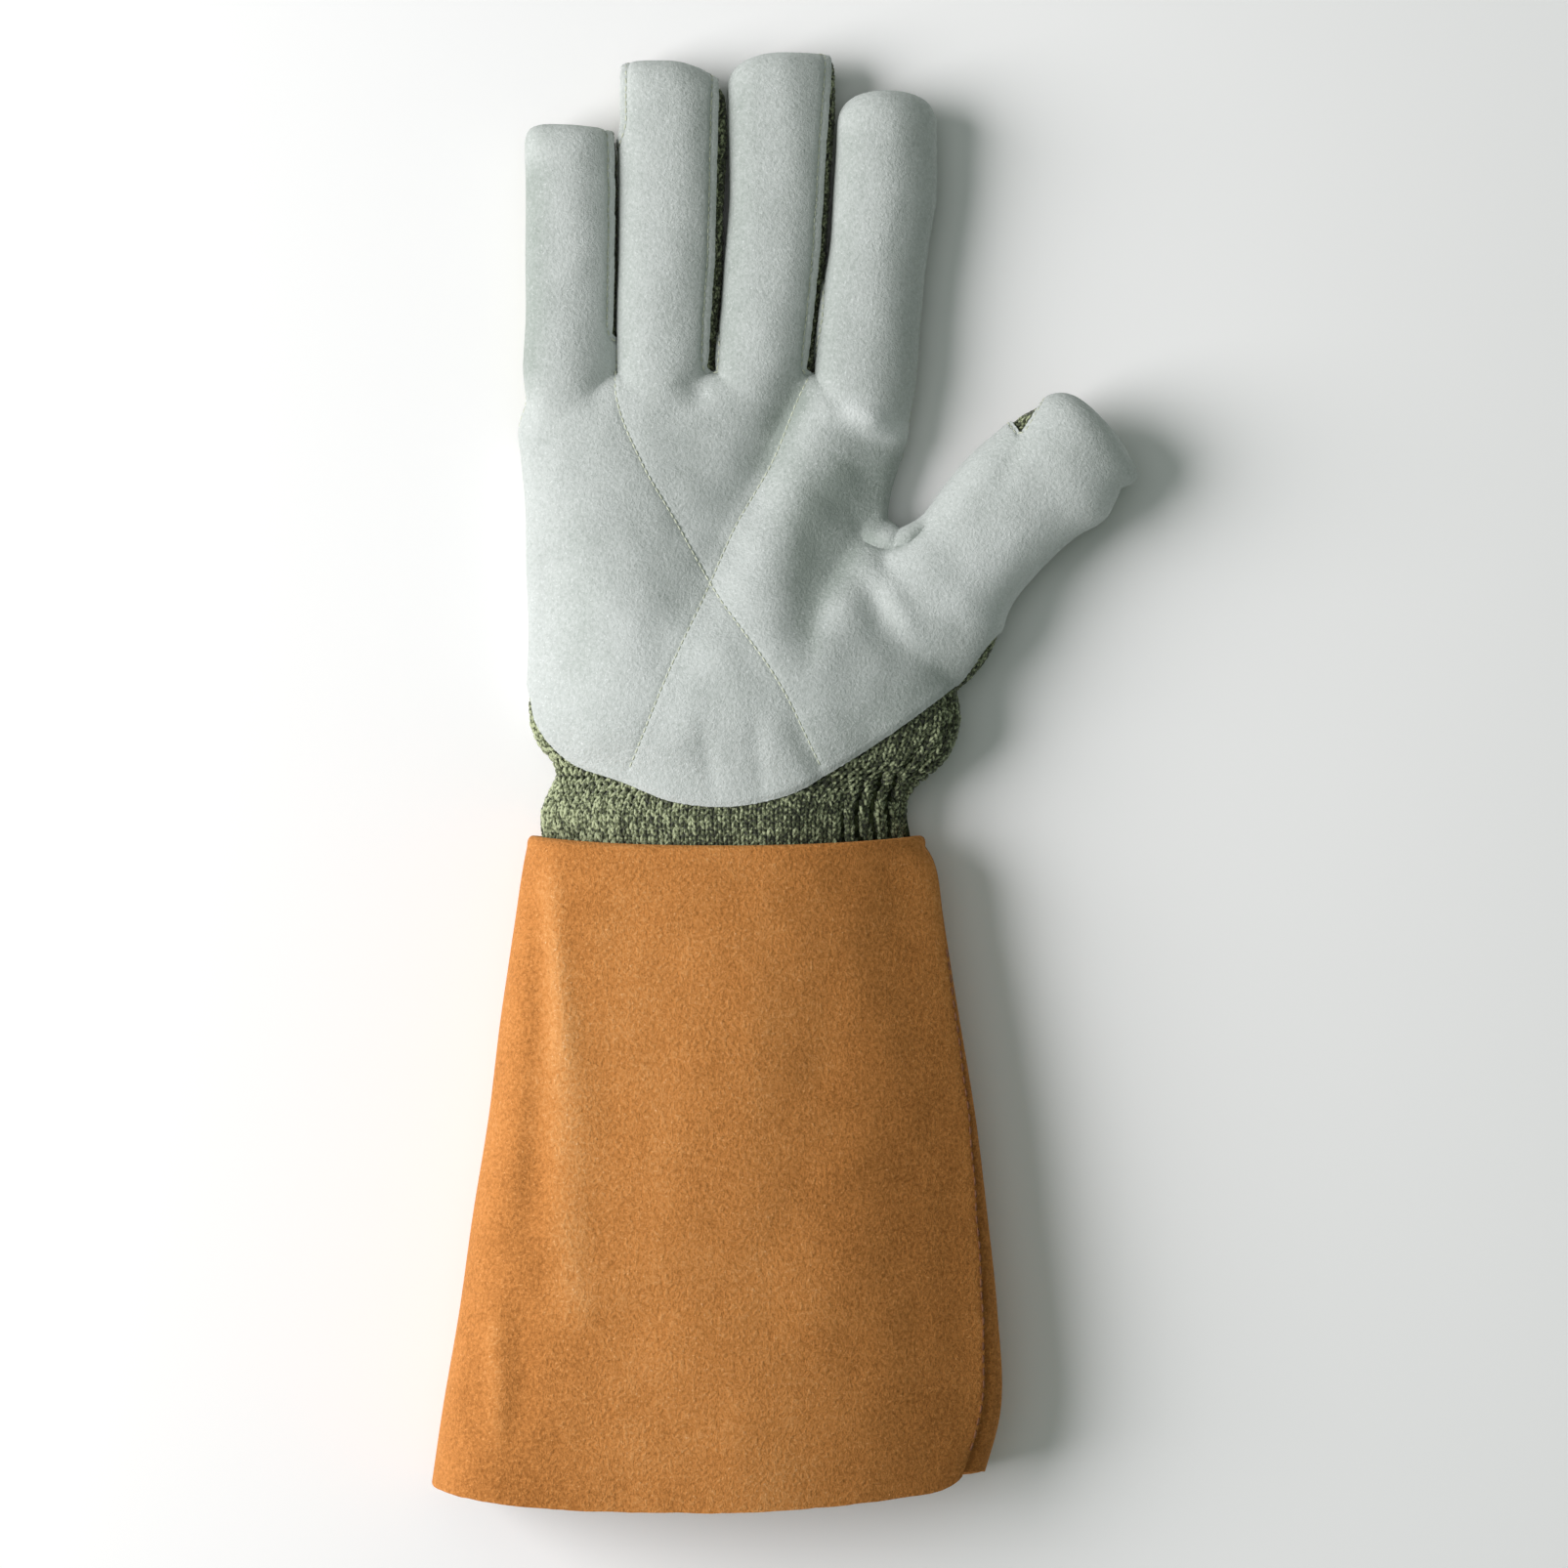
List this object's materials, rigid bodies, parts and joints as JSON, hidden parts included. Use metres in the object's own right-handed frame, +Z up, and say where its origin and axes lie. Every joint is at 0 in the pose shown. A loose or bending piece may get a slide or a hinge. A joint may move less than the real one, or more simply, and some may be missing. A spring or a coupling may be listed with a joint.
{
  "type": "gauntlet glove",
  "caption": "Right-hand work glove: marled knit hand with a suede palm, finger and thumb patch and a long flared suede cuff, made to shield hand and forearm.",
  "frame": {"origin": "on the table, under the middle of the whole glove", "axes": "+Y from the cuff's hem to the fingertips, +X to the thumb, +Z up, out of the palm, with the glove lying on its back"},
  "size_m": [0.2062, 0.4266, 0.0539],
  "materials": {
    "knit": "coarse plain knit of marled dark olive and pale green yarn, matt",
    "patch_suede": "pale grey split leather with a soft, short nap",
    "cuff_suede": "golden tan split leather with a soft, short nap"
  },
  "bodies": {
    "root": {"knit_glove": "knit", "palm_patch": "patch_suede", "cuff": "cuff_suede"}
  },
  "joints": []
}
